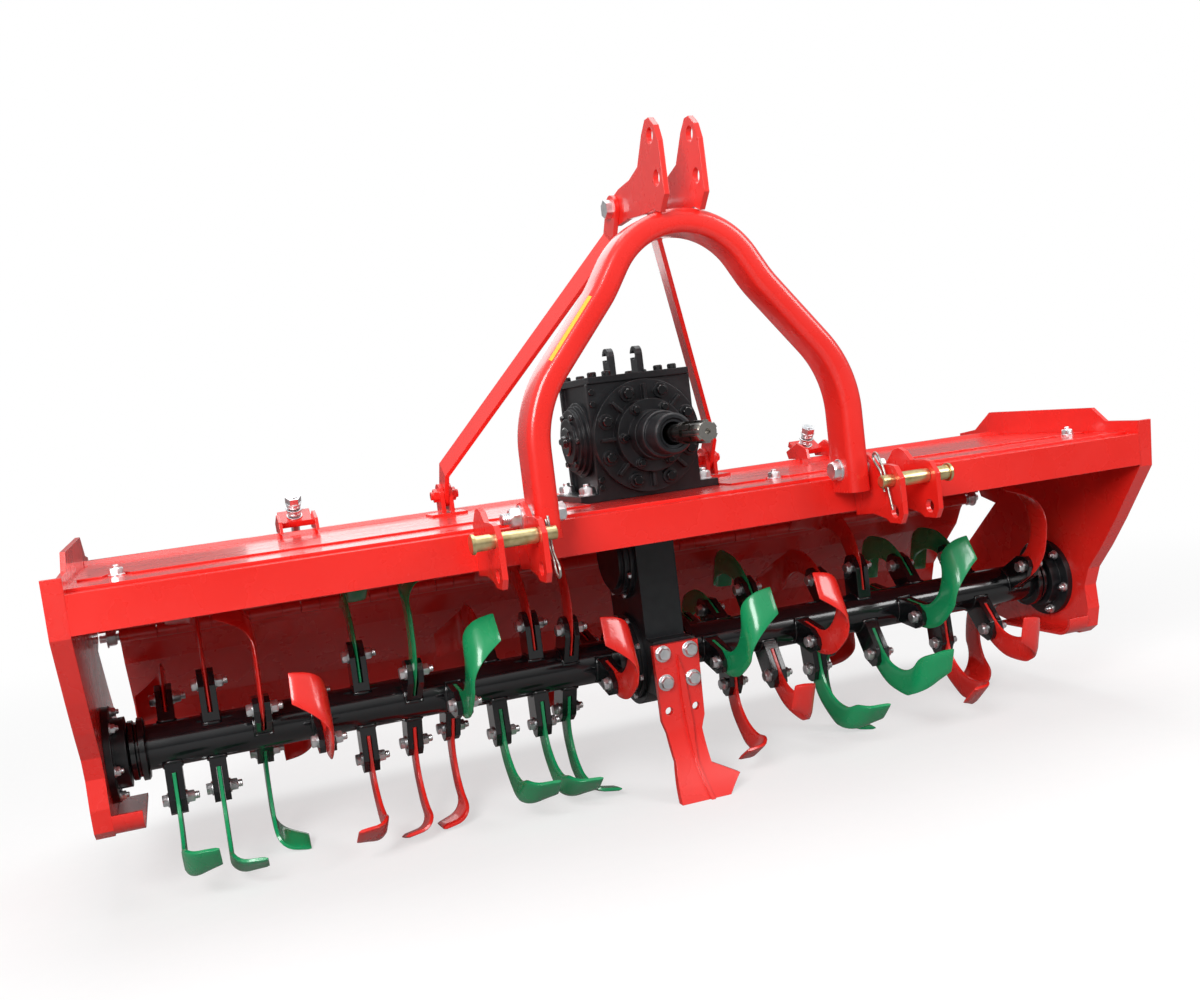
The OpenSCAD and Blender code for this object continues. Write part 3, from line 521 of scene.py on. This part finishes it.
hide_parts("hitch_pin_left", "hitch_pin_right")


# Spring clips: bent, bright spring wire, one through the inner end of each hitch pin; the left
# one hangs down and the right one stands up.
def wire(name, points, radius, paint, body, smooth=True):
    curve = bpy.data.curves.new(name, "CURVE")
    curve.dimensions = "3D"
    curve.bevel_depth = radius / 1000
    curve.bevel_resolution = 3
    curve.resolution_u = 4
    line = curve.splines.new("NURBS" if smooth else "POLY")
    line.points.add(len(points) - 1)
    for spot, point in zip(line.points, points):
        spot.co = (*at(*point), 1)
    if smooth:
        line.order_u = 4
        line.use_endpoint_u = True
    curve.use_fill_caps = True
    curve.materials.append(paint)
    made = bpy.data.objects.new(name, curve)
    bpy.context.scene.collection.objects.link(made)
    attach(made, body)


clip_r, clip_in = 2.1, 11
left_bends = (
    (2, 26), (-1, 18), (-1, 8), (-1, -4), (-1, -16), (-3, -26), (-12, -36), (-22, -44),
    (-31, -52), (-30, -64), (-20, -69), (-9, -62), (-4, -52), (-2, -40), (8, -30), (13, -22),
    (11, -12), (13, 0), (11, 12), (14, 20))
right_bends = (
    (-12, -48), (-9, -36), (-6, -24), (-3, -10), (0, 4), (3, 16), (8, 26), (13, 36), (17, 44),
    (25, 50), (33, 47), (34, 38), (28, 30), (19, 22), (12, 14), (14, 4), (11, -8), (8, -18))
for name, side, bends in (("clip_left", -1, left_bends), ("clip_right", 1, right_bends)):
    wire(name, [(drive_x + side * (lug_in - clip_in), pin_y + y, pin_z + z) for y, z in bends],
         clip_r, spring_steel, "frame")

# Gearbox screws: black painted hexagon screws in the lid, the front cover's flange, the clamping
# ring, the side cover and the front edge of the body, and the cap in the side cover's middle.
input_z, box_front, box_left, lid_top = 423, -111.5, drive_x - 93, 539
side_cover = (box_left - 24, -29.5, input_z + 4)
bm = bmesh.new()
for x in (-86, -58, 44, 72):
    for y in (-104, 45):
        hex_bolt(bm, (drive_x + x, y, lid_top), upwards, corners=17, height=9)
bolt_ring(bm, (drive_x, box_front - 24, input_z), to_front, radius=85, count=8, first=22.5,
          corners=20, height=8)
bolt_ring(bm, (drive_x, box_front - 44, input_z), to_front, radius=55, count=6, first=0,
          corners=14, height=6)
bolt_ring(bm, side_cover, to_left, radius=50, count=6, first=0, corners=12, height=6)
for z in (512, 490, 352, 338):
    hex_bolt(bm, (box_left - 1, box_front, z), to_front, corners=13, height=5)
turned(bm, side_cover, to_left, [(5, 27), (9, 27), (11, 24), (11, 12), (17, 10)])
solid("gearbox_screws", bm, black_enamel, "frame")

# Seal housing: a turned, stepped nose on the front cover that holds the shaft's oil seal; its
# face has a bevelled rim and is sunk round the shaft. Satin black like the castings.
housing_back, shaft_hole_r = box_front - 67, 20.5
bm = bmesh.new()
turned(bm, (drive_x, housing_back, input_z), to_front, [
    (0, 42), (28, 42), (30, 40), (30, 36), (71, 36), (74, 33), (74, 27), (70, 25),
    (70, shaft_hole_r), (0, shaft_hole_r)], sides=64, bored=True)
solid("seal_housing", bm, cast_black, "frame")

# Case screws: small zinc plated screws round the two covers on the drive case's left side and
# round the lower cover on its right side.
case_half, left_cover_t, right_cover_t, upper_cover_z = 38.5, 8, 10, 196
bm = bmesh.new()
for z in (0, upper_cover_z):
    bolt_ring(bm, (drive_x - case_half - left_cover_t, 0, z), to_left, radius=79, count=8,
              first=22.5, corners=12, height=5)
bolt_ring(bm, (drive_x + case_half + right_cover_t, 0, 0), (1, 0, 0), radius=68, count=6,
          first=30, corners=13, height=5)
solid("case_screws", bm, zinc, "frame")

# Shovel screws: four zinc plated screws on wide washers hold the pressed shovel to its pad.
shovel_face = -142
bm = bmesh.new()
for x in (-27, 27):
    for z in (22, -32):
        hex_bolt(bm, (drive_x + x, shovel_face, z), to_front, corners=25, height=9,
                 washer_r=15.5)
solid("shovel_screws", bm, zinc, "frame")

# Rotor blades: forged spring steel, bent over a former so that the wing stands across the shank,
# ground to an edge in front, and painted red (wing to the left) or green (wing to the right).
# One blade is drawn flat, by its two edges and its half thickness from front to rear, then folded.
wing_turn, fold_turn, bend_r, bend_at = math.radians(36), math.radians(82), 30, 206.5
front_edge = [(-48, 25.5), (-72, 59), (-88, 88), (-97, 132), (-87, 187), (-74, 207), (-53, 231),
              (-31, 256), (-13, 281)]
rear_edge = [(-9, 54), (-33, 87), (-43.5, 105.5), (-49, 133), (-41, 168), (-17, 199), (16, 217),
             (33, 247), (38, 279)]
thickness = [(0, 0.9), (0.07, 2.4), (0.2, 4), (0.4, 4), (0.6, 4), (0.8, 4), (0.95, 3.6), (1, 2.6)]


def eased(points):
    steps = 4
    path = [points[0]] + points + [points[-1]]
    out = []
    for i in range(1, len(path) - 2):
        a, b, c, d = (Vector(path[i + j]) for j in (-1, 0, 1, 2))
        for t in (k / steps for k in range(steps)):
            out.append(0.5 * (2 * b + (c - a) * t + (2 * a - 5 * b + 4 * c - d) * t * t
                              + (3 * b - a - 3 * c + d) * t ** 3))
    return out + [Vector(points[-1])]


def folded(back, out):
    side, reach = 0.0, out - bend_at
    if reach > 0:
        turn = min(reach / bend_r, fold_turn)
        rest = max(0.0, reach - bend_r * fold_turn)
        side = bend_r * (1 - math.cos(turn)) + rest * math.sin(turn)
        out = bend_at + bend_r * math.sin(turn) + rest * math.cos(turn)
    return Vector((side, back * math.cos(wing_turn) + out * math.sin(wing_turn),
                   -back * math.sin(wing_turn) + out * math.cos(wing_turn)))


middle = [[folded(*front.lerp(rear, t)) for t, _ in thickness]
          for front, rear in zip(eased(front_edge), eased(rear_edge))]
last_row, last_column, tip_thinned = len(middle) - 1, len(thickness) - 1, 0.35
blade_loops = []
for i, row in enumerate(middle):
    thinned = tip_thinned if i == last_row else 1.0
    upper, lower = [], []
    for j, (t, half_t) in enumerate(thickness):
        along = middle[min(i + 1, last_row)][j] - middle[max(i - 1, 0)][j]
        across = row[min(j + 1, last_column)] - row[max(j - 1, 0)]
        lift = along.cross(across).normalized() * half_t * thinned
        upper.append(row[j] + lift)
        lower.append(row[j] - lift)
    blade_loops.append(upper + lower[::-1])


def on_rotor(x, turn, side, back, up):
    turn = math.radians(turn)
    return Vector((x + side, back * math.cos(turn) - up * math.sin(turn),
                   back * math.sin(turn) + up * math.cos(turn)))


left_blades = [
    (-869, -45, -1), (-869, 170, 1), (-796, 5, -1), (-796, 185, 1), (-714, 60, -1),
    (-714, 230, 1), (-616, 105, -1), (-616, 285, -1), (-536, 0, 1), (-536, 180, -1),
    (-449, 50, 1), (-449, 200, -1), (-374, 95, 1), (-374, 212, -1), (-291, -40, -1),
    (-291, 175, 1), (-209, 0, -1), (-209, 180, 1), (-147, 30, -1), (-147, 205, 1),
    (-82, 105, -1), (-82, 285, -1)]
right_blades = [
    (140, 105, 1), (140, 285, 1), (195, -60, 1), (195, 185, -1), (267, 150, -1), (267, -30, 1),
    (343, 102, -1), (376, 172, 1), (440, -40, -1), (440, 220, 1), (499, 148, 1), (499, 0, -1),
    (583, 97, 1), (583, 277, -1), (640, -40, 1), (682, 175, -1), (770, 140, -1), (770, -40, 1),
    (858, 60, -1), (858, 240, -1)]
for row, blades in (("left", left_blades), ("right", right_blades)):
    for colour, paint, hand in (("red", red_enamel, -1), ("green", green_enamel, 1)):
        bm = bmesh.new()
        for x, turn, side in blades:
            if side == hand:
                loft(bm, [[on_rotor(x, turn, hand * p.x, p.y, p.z) for p in loop]
                          for loop in blade_loops])
        ground = solid(f"ground_blades_{row}_{colour}", bm, paint, "rotor", crease=30)
        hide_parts(f"blades_{row}_{colour}")

# Blade bolts: each blade is held in its socket by one zinc plated bolt, its head on the left
# and its nut on the right, where the threaded end shows beyond it.
cheek_out, blade_bolt_up = 14.3, 94.76
for row, blades in (("left", left_blades), ("right", right_blades)):
    bm = bmesh.new()
    for x, turn, _ in blades:
        hex_bolt(bm, on_rotor(x, turn, cheek_out, 0, blade_bolt_up), (1, 0, 0), corners=23,
                 height=11, washer_r=12.5, stud=7, stud_r=6.6)
        hex_bolt(bm, on_rotor(x, turn, -cheek_out, 0, blade_bolt_up), to_left, corners=23,
                 height=8.5, washer_r=12.5)
    nuts = solid(f"blade_nuts_{row}", bm, zinc, "rotor")
    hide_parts(f"blade_bolts_{row}")

# Weld beads: each socket is welded to its tube all round; the bead is rippled, under the paint.
# The ring runs round the socket's foot, on the tube's surface.
tube_r, foot_half, inner_x, bead_r, ripple_r = 39, 25, 4.8, 3.4, 0.7
ring = ([(cheek_out, 10 * k - foot_half) for k in range(6)]
        + [(inner_x, foot_half), (-inner_x, foot_half)]
        + [(-cheek_out, foot_half - 10 * k) for k in range(6)]
        + [(-inner_x, -foot_half), (inner_x, -foot_half)])
centre = [Vector((x, y, math.sqrt(tube_r ** 2 - y * y) + 0.4)) for x, y in ring]
ripple = random.Random(7)
bm = bmesh.new()
for x, turn, _ in left_blades + right_blades:
    loops = []
    for i, spot in enumerate(centre):
        way = (centre[(i + 1) % len(centre)] - centre[i - 1]).normalized()
        up = Vector((0, spot.y, spot.z)).normalized()
        out = way.cross(up).normalized()
        fat = bead_r + ripple.uniform(-ripple_r, ripple_r)
        loops.append([on_rotor(x, turn, *(spot + fat * (math.cos(a) * up + math.sin(a) * out)))
                      for a in (math.radians(60 * k) for k in range(6))])
    loft(bm, loops, closed=True)
solid("socket_welds", bm, black_enamel, "rotor", crease=60)

# Hinge sleeves: steel sleeves on the hinge rod beside its eyes, by turns welded to the hood and
# to the tail board, so no gap shows along the rod. Red enamel.
tail_half, eye_half, sleeve_gap, sleeve_r, bore_r = 935, 30.3, 0.5, 12.8, 8.4
pitch_x = 2 * tail_half / 7
for name, body, count, shift in (("hinge_sleeves_hood", "frame", 7, 0.5),
                                 ("hinge_sleeves_board", "tail_board", 8, 0.0)):
    bm = bmesh.new()
    for k in range(count):
        middle = -tail_half + (k + shift) * pitch_x
        at_rod_end = body == "tail_board" and k in (0, count - 1)
        for side in (-1, 1):
            start = middle + side * (sleeve_gap if at_rod_end else eye_half)
            stop = middle + side * (pitch_x / 4 - sleeve_gap)
            long = abs(stop - start)
            if abs(start) < tail_half and abs(stop) < tail_half:
                turned(bm, (start, hinge_y, hinge_z), (side, 0, 0), [
                    (0, bore_r), (0, sleeve_r - 0.6), (0.6, sleeve_r), (long - 0.6, sleeve_r),
                    (long, sleeve_r - 0.6), (long, bore_r)], sides=28, bored=True)
    solid(name, bm, red_enamel, body)

# Hinge leaf: a folded strip under the rod that carries the board's sleeves over its whole width;
# it swings with the board. Red enamel.
leaf_half = tail_half - 0.5
fold = [(231.4, 160.9), (236.6, 155.2), (240.5, 150.8), (236.7, 147.6), (232.6, 152.2),
        (228.2, 157.1)]
bm = bmesh.new()
loft(bm, [[Vector((x, y, z)) for y, z in fold] for x in (-leaf_half, leaf_half)])
solid("hinge_leaf", bm, red_enamel, "tail_board", crease=20)

# Springs: two short coil springs with a ring between them and a washer at each end sit on each
# spring rod, above its guide. All are zinc plated and ride on the rod.
rod_foot, guide = Vector((336, 84)), Vector((182, 344.5))
rod_way = (guide - rod_foot).normalized()
slide = (guide - rod_foot).length
low, high = slide + 6.2, slide + 38
between = (low + high) / 2
washer_t, ring_half, washer_r, coil_r, wire_r = 2.4, 2, 15, 11.4, 2.0
turns, steps = 2, 40
way, across = Vector((0, *rod_way)), Vector((0, rod_way.y, -rod_way.x))
for name, x in (("left", -592), ("right", 511)):
    foot = Vector((x, *rod_foot))
    bm = bmesh.new()
    for start, stop in ((low, low + washer_t), (between - ring_half, between + ring_half),
                        (high - washer_t, high)):
        turned(bm, foot + start * way, way, [
            (0, washer_r - 0.8), (0.5, washer_r), (stop - start - 0.5, washer_r),
            (stop - start, washer_r - 0.8)])
    washers = solid(f"spring_washers_{name}", bm, zinc, f"rod_{name}")
    for which, start, stop in (("lower", low + washer_t + wire_r, between - ring_half - wire_r),
                               ("upper", between + ring_half + wire_r, high - washer_t - wire_r)):
        coil = []
        for i in range(steps + 1):
            turn = 2 * math.pi * turns * i / steps
            coil.append(foot + (start + (stop - start) * i / steps) * way
                        + coil_r * (math.cos(turn) * Vector((1, 0, 0)) + math.sin(turn) * across))
        wire(f"spring_{which}_{name}", coil, wire_r, zinc, f"rod_{name}", smooth=False)
    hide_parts(f"spring_{name}")
